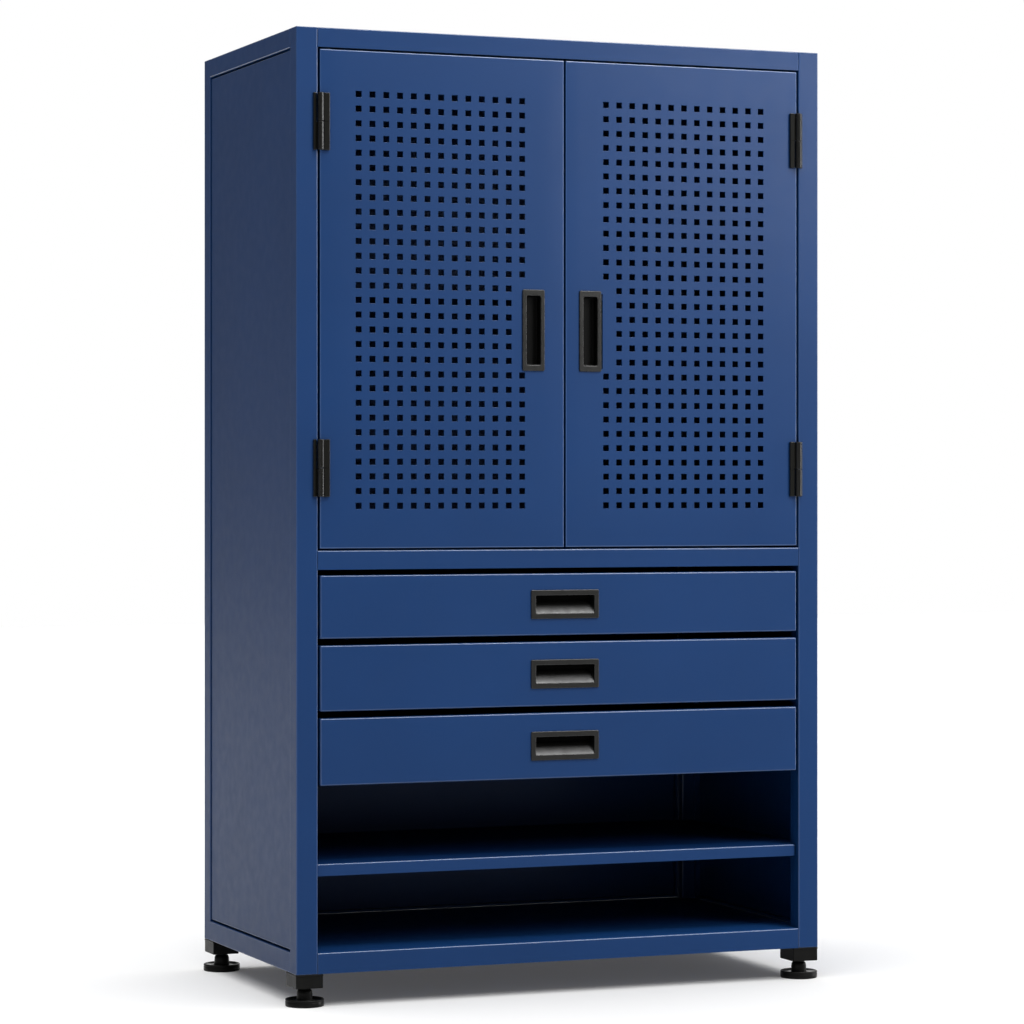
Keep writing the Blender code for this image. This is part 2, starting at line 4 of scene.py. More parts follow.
import bmesh
import bpy
import numpy as np
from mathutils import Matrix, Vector


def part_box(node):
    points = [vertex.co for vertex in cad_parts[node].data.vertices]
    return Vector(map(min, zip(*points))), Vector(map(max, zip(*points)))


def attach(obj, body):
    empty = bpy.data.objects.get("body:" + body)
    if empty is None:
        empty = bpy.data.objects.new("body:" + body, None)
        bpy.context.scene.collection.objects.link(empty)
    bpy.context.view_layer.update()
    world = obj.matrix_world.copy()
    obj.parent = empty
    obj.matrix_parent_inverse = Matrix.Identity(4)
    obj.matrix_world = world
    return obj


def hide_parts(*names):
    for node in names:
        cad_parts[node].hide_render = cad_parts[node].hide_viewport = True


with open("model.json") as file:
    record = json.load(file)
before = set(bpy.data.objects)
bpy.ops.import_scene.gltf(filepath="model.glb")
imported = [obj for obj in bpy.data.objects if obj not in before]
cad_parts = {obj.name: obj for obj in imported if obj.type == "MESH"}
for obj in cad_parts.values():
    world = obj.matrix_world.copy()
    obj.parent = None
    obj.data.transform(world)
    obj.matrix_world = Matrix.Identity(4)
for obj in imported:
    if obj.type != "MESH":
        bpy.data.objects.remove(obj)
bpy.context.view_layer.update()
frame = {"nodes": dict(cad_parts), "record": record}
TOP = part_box("top_pan")[1].z

scene = bpy.context.scene
RECORD = frame["record"]
BODY_OF = {node: body for body, nodes in RECORD["behaviour"]["bodies"].items() for node in nodes}
SLOT_OF = {part["node"]: part["material_slot"] for part in RECORD["subparts"]}
PIN_OF = {joint["child"]: joint["pos_m"] for joint in RECORD["behaviour"]["joints"] if "pos_m" in joint}

# ---- sizes, in metres
SHEET = 0.0015  # sheet thickness
GAP = 0.0003  # between parts that fit closely
HOLD = 0.0004  # from a rounded edge to the point that keeps the face beside it flat
FOLD = 0.0024  # radius of a folded edge
POST_EDGE = 0.0020
HOLE = 0.0107  # a punched hole's side
HOLE_EDGE = 0.0005
PITCH = 0.0254
COLUMNS, ROWS = 13, 29
BLANK = range(10, 16)  # rows beside the pull, where the nearest column has no holes
PATTERN_FROM_MIDDLE = {"left": -0.2339, "right": 0.2317}
PATTERN_HEIGHT = 1.2175
# each of these steps takes a copy of the scoop's finish that reflects less further back, as painted shade
SCOOP_BANDS = 14  # steps from a drawer pull's lip to its back
BARREL = 0.0060  # hinge knuckle radius
FLAT = 0.992  # a face is flat where one axis takes this share of its normal


# ---- camera, floor and light


def setup_camera():
    """A long lens at the doors' lower third, turned 22 degrees from the cabinet's front."""
    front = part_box("left_door_skin")[0].y
    data = bpy.data.cameras.new("camera")
    data.sensor_width = 36.0
    data.lens = 122.87
    data.shift_y = -0.02246
    data.clip_end = 60.0
    camera = bpy.data.objects.new("camera", data)
    camera.location = (-2.3963, front - 5.6959, 0.891)
    camera.rotation_euler = (math.radians(90.0), 0.0, math.radians(-21.95))
    scene.collection.objects.link(camera)
    scene.camera = camera


def soft_box(name, place, aim, size, power):
    """A rectangular area light at place that faces aim."""
    data = bpy.data.lights.new(name, "AREA")
    data.shape = "RECTANGLE"
    data.size, data.size_y = size
    data.energy = power
    light = bpy.data.objects.new(name, data)
    light.location = place
    light.rotation_euler = (Vector(aim) - Vector(place)).to_track_quat("-Z", "Y").to_euler()
    light.visible_camera = False
    scene.collection.objects.link(light)
    return light


def ceiling_glow(strength, spread):
    """A very wide sun from above, as from a white ceiling."""
    data = bpy.data.lights.new("ceiling", "SUN")
    data.energy = strength
    data.angle = math.radians(spread)
    light = bpy.data.objects.new("ceiling", data)
    light.rotation_euler = (math.radians(9.0), math.radians(-3.0), 0.0)
    scene.collection.objects.link(light)


def keep_off_floor(lights):
    """These lights fall on the cabinet only, so that the floor keeps the ceiling's soft shadow."""
    spared = bpy.data.collections.new("floor_only")
    spared.objects.link(bpy.data.objects["floor"])
    spared.collection_objects[0].light_linking.link_state = "EXCLUDE"
    for light in lights:
        light.light_linking.receiver_collection = spared


def stage_piece(name, mesh, finish):
    """A piece of the studio, which is no part of the cabinet."""
    piece = bpy.data.objects.new(name, mesh)
    scene.collection.objects.link(piece)
    mesh.materials.append(finish)
    return piece


def lay_floor():
    """A plain pale floor at the height that the feet stand on."""
    reach = 16.0
    corners = np.array([(-1, -1, 0), (1, -1, 0), (1, 1, 0), (-1, 1, 0)]) * reach
    mesh = bpy.data.meshes.new("floor")
    mesh.from_pydata(corners.tolist(), [], [(0, 1, 2, 3)])
    paint = bpy.data.materials.new("floor_paint")
    paint.use_nodes = True
    shader = paint.node_tree.nodes["Principled BSDF"]
    shader.inputs["Base Color"].default_value = (0.92, 0.92, 0.92, 1.0)
    shader.inputs["Roughness"].default_value = 0.9
    shader.inputs["Specular IOR Level"].default_value = 0.0
    shader.inputs["Emission Color"].default_value = (1.0, 0.97, 0.92, 1.0)
    shader.inputs["Emission Strength"].default_value = 0.06
    stage_piece("floor", mesh, paint)


def hang_backdrop():
    """A white ball round the studio that only the camera sees, so that every view has a plain background."""
    around, up = np.meshgrid(np.linspace(0, 2 * np.pi, 33)[:-1], np.linspace(-1.5, 1.5, 17))
    radius = 25.0
    points = lay(np.cos(up) * np.cos(around), np.cos(up) * np.sin(around), np.sin(up), "xyz") * radius
    vertices, faces = shell(points)
    mesh = bpy.data.meshes.new("backdrop")
    mesh.from_pydata(vertices.tolist(), [], faces)
    glow = bpy.data.materials.new("backdrop_glow")
    glow.use_nodes = True
    tree = glow.node_tree
    tree.nodes.clear()
    light = tree.nodes.new("ShaderNodeEmission")
    light.inputs["Strength"].default_value = 1.0
    out = tree.nodes.new("ShaderNodeOutputMaterial")
    tree.links.new(light.outputs["Emission"], out.inputs["Surface"])
    ball = stage_piece("backdrop", mesh, glow)
    ball.visible_diffuse = False
    ball.visible_glossy = False
    ball.visible_transmission = False
    ball.visible_shadow = False


def setup_studio():
    """A white world, the floor and backdrop, a glowing ceiling, and soft boxes in front, beside and behind."""
    scene.view_settings.view_transform = "Standard"
    world = bpy.data.worlds.new("studio")
    world.use_nodes = True
    sky = world.node_tree.nodes["Background"]
    sky.inputs["Color"].default_value = (1.0, 1.0, 1.0, 1.0)
    sky.inputs["Strength"].default_value = 0.24
    scene.world = world
    lay_floor()
    hang_backdrop()
    ceiling_glow(3.3, 80.0)
    high = soft_box("high_key", (1.25, -2.30, 4.00), (0.0, -0.27, 1.0), (1.5, 0.9), 112.0)
    glare = soft_box("glare", (1.95, -2.80, 2.20), (0.30, -0.27, 1.2), (1.2, 1.4), 66.0)
    strip = soft_box("strip", (3.40, -0.60, 1.30), (0.50, -0.20, 0.95), (0.9, 2.4), 60.0)
    rear = soft_box("rear_fill", (1.60, 3.60, 2.20), (0.0, 0.27, 0.8), (2.0, 2.0), 60.0)
    keep_off_floor((high, glare, strip, rear))


# ---- finishes


def new_finish(name, roughness, metallic=0.0, specular=0.5):
    """A material, its node tree, its shader and a node that gives the place on the object."""
    made = bpy.data.materials.new(name)
    made.use_nodes = True
    tree = made.node_tree
    shader = tree.nodes["Principled BSDF"]
    shader.inputs["Roughness"].default_value = roughness
    shader.inputs["Metallic"].default_value = metallic
    shader.inputs["Specular IOR Level"].default_value = specular
    place = tree.nodes.new("ShaderNodeTexCoord")
    return made, tree, shader, place.outputs["Object"]


def noise(tree, place, scale, detail=2.0, stretch=None):
    """Noise of that many lumps to the metre, drawn out along one axis where stretch is given."""
    if stretch:
        mapping = tree.nodes.new("ShaderNodeMapping")
        mapping.inputs["Scale"].default_value = stretch
        tree.links.new(place, mapping.inputs["Vector"])
        place = mapping.outputs["Vector"]
    node = tree.nodes.new("ShaderNodeTexNoise")
    node.inputs["Scale"].default_value = scale
    node.inputs["Detail"].default_value = detail
    tree.links.new(place, node.inputs["Vector"])
    return node.outputs["Fac"]


def ramp(tree, value, stops):
    """Colours at their places along a value."""
    node = tree.nodes.new("ShaderNodeValToRGB")
    band = node.color_ramp
    band.elements[0].position, band.elements[0].color = stops[0][0], (*stops[0][1], 1.0)
    band.elements[1].position, band.elements[1].color = stops[-1][0], (*stops[-1][1], 1.0)
    for position, colour in stops[1:-1]:
        band.elements.new(position).color = (*colour, 1.0)
    tree.links.new(value, node.inputs["Fac"])
    return node.outputs["Color"]


def about(tree, value, colour, swing):
    """A colour that noise makes darker and lighter by a share."""
    dark, light = [c * (1 - swing) for c in colour], [c * (1 + swing) for c in colour]
    return ramp(tree, value, [(0.3, dark), (0.7, light)])


def spread(tree, value, low, high, start=0.3, end=0.7):
    """A value that runs from start to end, made to run from low to high. Noise mostly runs from 0.3 to 0.7."""
    node = tree.nodes.new("ShaderNodeMapRange")
    node.inputs["From Min"].default_value = start
    node.inputs["From Max"].default_value = end
    node.inputs["To Min"].default_value = low
    node.inputs["To Max"].default_value = high
    tree.links.new(value, node.inputs["Value"])
    return node.outputs["Result"]


def relief(tree, shader, height, strength, distance):
    """A height value given to the shader as fine bumps."""
    node = tree.nodes.new("ShaderNodeBump")
    node.inputs["Strength"].default_value = strength
    node.inputs["Distance"].default_value = distance
    tree.links.new(height, node.inputs["Height"])
    tree.links.new(node.outputs["Normal"], shader.inputs["Normal"])


def powder_coat(name, colour, roughness=0.45, specular=0.13, coat=0.05):
    """Satin powder coat: slow drifts of tone, fine flecks, and the small ripple of baked powder."""
    made, tree, shader, place = new_finish(name, roughness, specular=specular)
    shader.inputs["Coat Weight"].default_value = coat
    shader.inputs["Coat Roughness"].default_value = 0.22
    drift = noise(tree, place, 3.5, 3.0)
    tree.links.new(about(tree, drift, colour, 0.05), shader.inputs["Base Color"])
    flecks = spread(tree, noise(tree, place, 40.0), roughness - 0.03, roughness + 0.03)
    tree.links.new(flecks, shader.inputs["Roughness"])
    relief(tree, shader, noise(tree, place, 650.0, 3.0), 0.10, 0.0002)
    return made


def moulded(name, colour, roughness, specular=0.25):
    """Moulded plastic with a fine even grain."""
    made, tree, shader, place = new_finish(name, roughness, specular=specular)
    tree.links.new(about(tree, noise(tree, place, 60.0), colour, 0.15), shader.inputs["Base Color"])
    flecks = spread(tree, noise(tree, place, 90.0), roughness - 0.04, roughness + 0.04)
    tree.links.new(flecks, shader.inputs["Roughness"])
    relief(tree, shader, noise(tree, place, 2200.0, 2.0), 0.25, 0.0001)
    return made


def cup(name, rim, reach, specular):
    """The inside of a moulded pull: polished by fingers near its rim and duller further in, with painted shade
    that makes its colour darker further in.
    """
    made, tree, shader, place = new_finish(name, 0.5, specular=specular)
    split = tree.nodes.new("ShaderNodeSeparateXYZ")
    tree.links.new(place, split.inputs["Vector"])
    depth = split.outputs["Y"]
    # painted shade: the colour runs from dark grey at the rim to near black at the back
    tone = [(0.0, (0.0110, 0.0110, 0.0105)), (0.5, (0.0040, 0.0040, 0.0038)), (1.0, (0.0012, 0.0012, 0.0011))]
    share = spread(tree, depth, 0.0, 1.0, rim, rim + reach)
    tree.links.new(ramp(tree, share, tone), shader.inputs["Base Color"])
    tree.links.new(spread(tree, depth, 0.30, 0.45, rim, rim + reach), shader.inputs["Roughness"])
    relief(tree, shader, noise(tree, place, 2200.0, 2.0), 0.25, 0.0001)
    return made


def zinc(name):
    """Zinc plate rolled along the slide, with a faint blue and yellow cast."""
    made, tree, shader, place = new_finish(name, 0.34, 1.0)
    cast = noise(tree, place, 14.0, 3.0)
    tone = ramp(tree, cast, [(0.3, (0.50, 0.52, 0.56)), (0.55, (0.60, 0.60, 0.60)), (0.75, (0.62, 0.60, 0.54))])
    tree.links.new(tone, shader.inputs["Base Color"])
    rolled = noise(tree, place, 900.0, 2.0, (1.0, 0.02, 1.0))
    tree.links.new(spread(tree, rolled, 0.28, 0.42), shader.inputs["Roughness"])
    relief(tree, shader, rolled, 0.15, 0.0001)
    return made


# ---- shapes worked out on grids


def lay(a, b, depth, plane):
    """Points from three arrays; plane names the axes that they run along, such as xzy."""
    out = np.empty(a.shape + (3,))
    for letter, values in zip(plane, (a, b, depth)):
        out[..., "xyz".index(letter)] = values
    return out


def ring_stack(stations, plane, steps=4):
    """A stack of rounded rectangles, one for each station (a low, a high, b low, b high, corner radius, depth).

    Point (i, j) is the middle of the corner that turn j belongs to, plus the corner radius of station i times
    the cosine and sine of turn j. One more point just before and after each corner keeps the sides flat.
    """
    a0, a1, b0, b1, radius, depth = np.asarray(stations, dtype=float).T[:, :, None]
    bend = np.concatenate([[0.0], np.linspace(0.0, np.pi / 2, steps + 1), [np.pi / 2]])
    slip = np.concatenate([[-HOLD], np.zeros(steps + 1), [HOLD]])
    turn = (np.arange(4)[:, None] * np.pi / 2 + bend).ravel()
    slip = np.tile(slip, 4)
    right = np.repeat([True, False, False, True], steps + 3)
    upper = np.repeat([True, True, False, False], steps + 3)
    a = np.where(right, a1 - radius, a0 + radius) + radius * np.cos(turn) - slip * np.sin(turn)
    b = np.where(upper, b1 - radius, b0 + radius) + radius * np.sin(turn) + slip * np.cos(turn)
    return lay(a, b, np.broadcast_to(depth, a.shape), plane)


def turned(outline, centre, steps=64):
    """An outline of (radius, height) pairs swept about +Z: radius times cosine and sine of the turn."""
    radius, height = np.asarray(outline, dtype=float).T[:, :, None]
    turn = np.arange(steps) * 2 * np.pi / steps
    x = centre[0] + radius * np.cos(turn)
    y = centre[1] + radius * np.sin(turn)
    return lay(x, y, np.broadcast_to(height, x.shape), "xyz")


def shell(points, closed=False):
    """Vertices and faces of a grid with closed loops for rows. Its end rows are capped, or joined if closed."""
    rows, columns = points.shape[:2]
    i = np.arange(rows if closed else rows - 1)[:, None] * columns
    j = np.arange(columns)
    after = (j + 1) % columns
    below = (i + columns) % (rows * columns)
    faces = np.stack([i + j, i + after, below + after, below + j], axis=-1).reshape(-1, 4).tolist()
    if not closed:
        faces.append(list(range(columns))[::-1])
        faces.append(list(range((rows - 1) * columns, rows * columns)))
    return points.reshape(-1, 3), faces


def bend(start, end, face_first, steps=4):
    """Stations from start to end round a quarter turn, along the face or along the depth first.

    The rectangle moves with the sine of the turn and the depth with one less its cosine, or the reverse.
    """
    start, end = np.asarray(start, dtype=float), np.asarray(end, dtype=float)
    turn = np.linspace(0.0, np.pi / 2, steps + 1)[:, None]
    along, into = (np.sin(turn), 1 - np.cos(turn)) if face_first else (1 - np.cos(turn), np.sin(turn))
    weight = np.concatenate([np.repeat(along, 5, axis=1), into], axis=1)
    rows = start + (end - start) * weight
    flat = np.array([1, 1, 1, 1, 1, 0]) if face_first else np.array([0, 0, 0, 0, 0, 1])
    head = start - HOLD * np.sign(end - start) * flat
    tail = end + HOLD * np.sign(end - start) * (1 - flat)
    rows = np.vstack([head, rows, tail])
    rows[:, 4] = np.maximum(rows[:, 4], 0.0)
    return rows


def outline(rect, corner):
    """A function that gives the station of a rectangle drawn in by an inset at a depth."""
    a0, a1, b0, b1 = rect

    def station(inset, depth):
        return (a0 + inset, a1 - inset, b0 + inset, b1 - inset, max(corner - inset, 0.0), depth)

    return station


def box_of(node):
    """The (low, high) of a CAD node along each axis."""
    low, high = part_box(node)
    return (low.x, high.x), (low.y, high.y), (low.z, high.z)


def face_values(mesh, name):
    """An array with a row of three for each face, such as its normal."""
    values = np.empty(len(mesh.polygons) * 3)
    mesh.polygons.foreach_get(name, values)
    return values.reshape(-1, 3)


def highlight_folds_and_top(mesh):
    """1 for the faces over a fold, which take a lighter, glossier finish as painted highlight, 2 for the
    cabinet's top, 0 for the rest.
    """
    normal = face_values(mesh, "normal")
    folded = np.abs(normal).max(axis=1) < FLAT
    top = (normal[:, 2] > FLAT) & (face_values(mesh, "center")[:, 2] > TOP - 0.001)
    return folded + 2 * top


def deeper_than(*depths):
    """A rule that gives each face the number of depths that its middle lies behind."""

    def chosen(mesh):
        return sum(face_values(mesh, "center")[:, 1] > depth for depth in depths)

    return chosen


def rounded_before(depth, number, rule):
    """The rule, with its own number for the rounded faces in front of a depth."""

    def chosen(mesh):
        rounded = np.abs(face_values(mesh, "normal")).max(axis=1) < FLAT
        return np.where(rounded & (face_values(mesh, "center")[:, 1] < depth), number, rule(mesh))

    return chosen


def highlight_folds_and_shaded_shelf(mesh):
    """1 for the faces over a fold, which take a painted highlight, 2 for those that look up, which take a
    darker finish as painted shade, 0 for the rest.
    """
    normal = face_values(mesh, "normal")
    return (np.abs(normal).max(axis=1) < FLAT) + 2 * (normal[:, 2] > FLAT)


def border_highlight_of(node):
    """A rule that gives 1 for the faces in a sheet's outer fold, which take a painted highlight, and 0 for the
    rest, holes' edges included.
    """
    (x0, x1), _, (z0, z1) = box_of(node)

    def chosen(mesh):
        middle = face_values(mesh, "center")
        inside = (middle[:, 0] > x0 + FOLD) & (middle[:, 0] < x1 - FOLD)
        inside &= (middle[:, 2] > z0 + FOLD) & (middle[:, 2] < z1 - FOLD)
        return ~inside & (highlight_folds_and_top(mesh) == 1)

    return chosen


def make(node, shells, finishes, chosen=highlight_folds_and_top, crease=30.0):
    """A finished piece in the place of a CAD node: its shells joined, welded and turned outwards.

    Where there are two or more finishes, the rule chosen gives each face the number of its own.
    """
    points, faces, start = [], [], 0
    for part_points, part_faces in shells:
        points.append(part_points)
        faces += [[start + k for k in face] for face in part_faces]
        start += len(part_points)
    mesh = bpy.data.meshes.new("fine_" + node)
    mesh.from_pydata(np.concatenate(points).tolist(), [], faces)
    bm = bmesh.new()
    bm.from_mesh(mesh)
    bmesh.ops.remove_doubles(bm, verts=bm.verts, dist=2e-6)
    bmesh.ops.dissolve_degenerate(bm, dist=1e-6, edges=bm.edges)
    bmesh.ops.recalc_face_normals(bm, faces=bm.faces)
    bm.to_mesh(mesh)
    bm.free()
    mesh.shade_smooth()
    mesh.set_sharp_from_angle(angle=math.radians(crease))
    number = chosen(mesh) if len(finishes) > 1 else np.zeros(len(mesh.polygons))
    for finish in finishes[: int(number.max()) + 1]:
        mesh.materials.append(finish)
    mesh.polygons.foreach_set("material_index", number.astype(np.int32))
    piece = bpy.data.objects.new("fine_" + node, mesh)
    scene.collection.objects.link(piece)
    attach(piece, BODY_OF[node])
    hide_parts(node)
    return piece


# ---- frame pieces


def post(node):
    """A square tube stood up: its section carried up the height, with the top edge rounded over."""
    (x0, x1), (y0, y1), (z0, z1) = box_of(node)
    at = outline((x0, x1, y0, y1), POST_EDGE)
    edge = 0.0012
    stations = [*bend(at(edge, z0), at(0.0, z0 + edge), True), *bend(at(0.0, z1 - edge), at(edge, z1), False)]
    make(node, [shell(ring_stack(stations, "xyz"))], COAT_WITH_FOLD_HIGHLIGHT)


def pan(node, plane, fold, from_high=False):
    """A folded sheet pan: out over the face, round the fold, down the side, and back inside."""
    spans = dict(zip("xyz", box_of(node)))
    (a0, a1), (b0, b1), (d0, d1) = (spans[letter] for letter in plane)
    face, end = (d1, d0) if from_high else (d0, d1)
    way = 1.0 if end > face else -1.0
    at = outline((a0, a1, b0, b1), 0.0006)
    stations = [*bend(at(fold, face), at(0.0, face + way * fold), True)]
    stations += [at(0.0, end), at(SHEET, end), at(SHEET, face + way * SHEET)]
    make(node, [shell(ring_stack(stations, plane))], COAT_WITH_FOLD_HIGHLIGHT)


def inset_panel(node, plane, from_high, flange):
    """A shallow tray with a flange behind it: face, fold, side, out along the flange, and back inside."""
    spans = dict(zip("xyz", box_of(node)))
    (a0, a1), (b0, b1), (d0, d1) = (spans[letter] for letter in plane)
    face, end = (d1, d0) if from_high else (d0, d1)
    way = 1.0 if end > face else -1.0
    at = outline((a0, a1, b0, b1), 0.0)
    fold = 0.0016
    stations = [*bend(at(flange + fold, face), at(flange, face + way * fold), True)]
    stations += [at(flange, end - way * SHEET), at(0.0, end - way * SHEET), at(0.0, end)]
    stations += [at(flange + SHEET, end), at(flange + SHEET, face + way * SHEET)]
    make(node, [shell(ring_stack(stations, plane))], COAT_WITH_FOLD_HIGHLIGHT)


def carried(corners, profile, plane):
    """A profile of (inset, depth) pairs carried round a polygon with mitred corners.

    Point (i, j) is corner j less inset i times the corner's mitre, which is the sum of its two sides' normals.
    """
    corners = np.asarray(corners, dtype=float)
    ahead = np.roll(corners, -1, axis=0) - corners
    ahead /= np.linalg.norm(ahead, axis=1)[:, None]
    normal = np.stack([ahead[:, 1], -ahead[:, 0]], axis=1)
    mitre = normal + np.roll(normal, 1, axis=0)
    inset, depth = np.asarray(profile, dtype=float).T[:, :, None]
    a = corners[:, 0] - inset * mitre[:, 0]
    b = corners[:, 1] - inset * mitre[:, 1]
    return lay(a, b, np.broadcast_to(depth, a.shape), plane)


def shelf(node):
    """A shelf pan notched round the four posts: its top, fold, lip and inside, carried round its outline."""
    (x0, x1), (y0, y1), (z0, z1) = box_of(node)
    front, rear = box_of("front_left_post"), box_of("rear_left_post")
    gap = GAP if node == "divider_pan" else 0.0031
    f0, f1 = front[0][1] + gap, -(front[0][1] + gap)
    n0, n1 = front[1][1] + GAP, rear[1][0] - GAP
    # from the front left, round each post's notch in turn
    corners = [(f0, y0), (f1, y0), (f1, n0), (x1, n0), (x1, n1), (f1, n1)]
    corners += [(f1, y1), (f0, y1), (f0, n1), (x0, n1), (x0, n0), (f0, n0)]
    turn = np.linspace(0.0, np.pi / 2, 6)
    fold = [(FOLD * (1 - math.sin(t)), z1 - FOLD * (1 - math.cos(t))) for t in turn]
    profile = [(FOLD + HOLD, z1), *fold, (0.0, z1 - FOLD - HOLD), (0.0, z0), (SHEET, z0), (SHEET, z1 - SHEET)]
    # fold faces take a painted highlight, upward faces a darker finish as painted shade
    make(node, [shell(carried(corners, profile, "xyz"))], (BLUE, FOLD_HIGHLIGHT, SHADED_INSIDE), highlight_folds_and_shaded_shelf)


# ---- doors


def punched_sheet(xs, zs, hole_x, hole_z, blank, opening, face, back, margin):
    """A flat sheet on a grid of lines, with a square hole in each cell that has one and a cut-out for the pull.

    A hole is four squares one behind the other: two that round its front edge, and two that line it. The
    border runs out from the grid's edge over a quarter ellipse: the sine of the turn outwards, and one less its
    cosine backwards.
    """
    columns, rows = len(xs), len(zs)
    gx, gz = np.meshgrid(xs, zs, indexing="ij")
    points = [lay(gx, gz, np.full_like(gx, y), "xzy").reshape(-1, 3) for y in (face, back)]
    layer = columns * rows
    faces = []

    i, j = np.meshgrid(np.arange(columns - 1), np.arange(rows - 1), indexing="ij")
    corner = np.stack([i * rows + j, (i + 1) * rows + j, (i + 1) * rows + j + 1, i * rows + j + 1], axis=-1)
    punched = ~np.isnan(hole_x)[:, None] & ~np.isnan(hole_z)[None, :] & ~blank
    plain = ~punched & ~opening
    faces += corner[plain].tolist() + (corner[plain][:, ::-1] + layer).tolist()

    sign = np.array([(-1, -1), (1, -1), (1, 1), (-1, 1)], dtype=float)
    middle = np.stack([np.broadcast_to(hole_x[:, None], punched.shape)[punched],
                       np.broadcast_to(hole_z[None, :], punched.shape)[punched]], axis=-1)
    edge = HOLE_EDGE
    diagonal = edge * (1 - math.sqrt(0.5))
    half = np.array([HOLE / 2 + edge, HOLE / 2 + diagonal, HOLE / 2, HOLE / 2])
    depth = np.array([face, face + diagonal, face + edge, back])
    spots = middle[:, None, None, :] + half[None, :, None, None] * sign[None, None]
    lined = lay(spots[..., 0], spots[..., 1], np.broadcast_to(depth[None, :, None], spots.shape[:3]), "xzy")
    count, rings = lined.shape[:2]
    base = 2 * layer + np.arange(count)[:, None, None] * rings * 4
    q = np.arange(4)
    r = np.arange(rings - 1)[:, None] * 4
    walls = np.stack(np.broadcast_arrays(r + q, r + (q + 1) % 4, r + 4 + (q + 1) % 4, r + 4 + q), axis=-1)
    faces += (base[..., None] + walls[None]).reshape(-1, 4).tolist()
    cells = corner[punched]
    first, last = base[:, 0, 0][:, None], base[:, 0, 0][:, None] + 4 * (rings - 1)
    around = np.roll(cells, -1, axis=1)
    faces += np.stack([cells, around, first + (q + 1) % 4, first + q], axis=-1).reshape(-1, 4).tolist()
    behind = np.stack([cells + layer, last + q, last + (q + 1) % 4, around + layer], axis=-1)
    faces += behind.reshape(-1, 4).tolist()
    points.append(lined.reshape(-1, 3))
    start = 2 * layer + count * rings * 4

    ci, cj = np.nonzero(opening)
    i0, i1, j0, j1 = ci.min(), ci.max() + 1, cj.min(), cj.max() + 1
    loop = rim_of(i0, i1, j0, j1) @ np.array([rows, 1])
    ahead = np.roll(loop, -1)
    faces += np.stack([loop, ahead, ahead + layer, loop + layer], axis=-1).tolist()

    steps = rim_of(0, columns - 1, 0, rows - 1)
    loop = steps @ np.array([rows, 1])
    spot = np.stack([xs[steps[:, 0]], zs[steps[:, 1]]], axis=-1)
    outward = (steps == np.array([columns - 1, rows - 1])).astype(float) - (steps == 0).astype(float)
    drop = back - face - 0.0001
    turn = np.linspace(0.0, np.pi / 2, 7)[1:]
    out = margin * np.sin(turn)[:, None, None]
    ring = spot[None] + outward[None] * out
    deep = np.broadcast_to((face + drop * (1 - np.cos(turn)))[:, None], ring.shape[:2])
    border = lay(ring[..., 0], ring[..., 1], deep, "xzy")
    tail = border[-1:].copy()
    tail[..., 1] = back
    border = np.concatenate([border, tail])
    size = len(loop)
    number = start + np.arange(len(border))[:, None] * size + np.arange(size)
    number = np.vstack([loop, number, loop + layer])
    beside = np.roll(number, -1, axis=1)
    faces += np.stack([number[:-1], beside[:-1], beside[1:], number[1:]], axis=-1).reshape(-1, 4).tolist()
    points.append(border.reshape(-1, 3))
    return np.concatenate(points), faces


def rim_of(i0, i1, j0, j1):
    """Grid steps round a rectangle of cells, one after the other."""
    i, j = np.arange(i0, i1), np.arange(j0, j1)
    return np.concatenate([
        np.stack([i, np.full_like(i, j0)], axis=1),
        np.stack([np.full_like(j, i1), j], axis=1),
        np.stack([i[::-1] + 1, np.full_like(i, j1)], axis=1),
        np.stack([np.full_like(j, i0), j[::-1] + 1], axis=1),
    ])


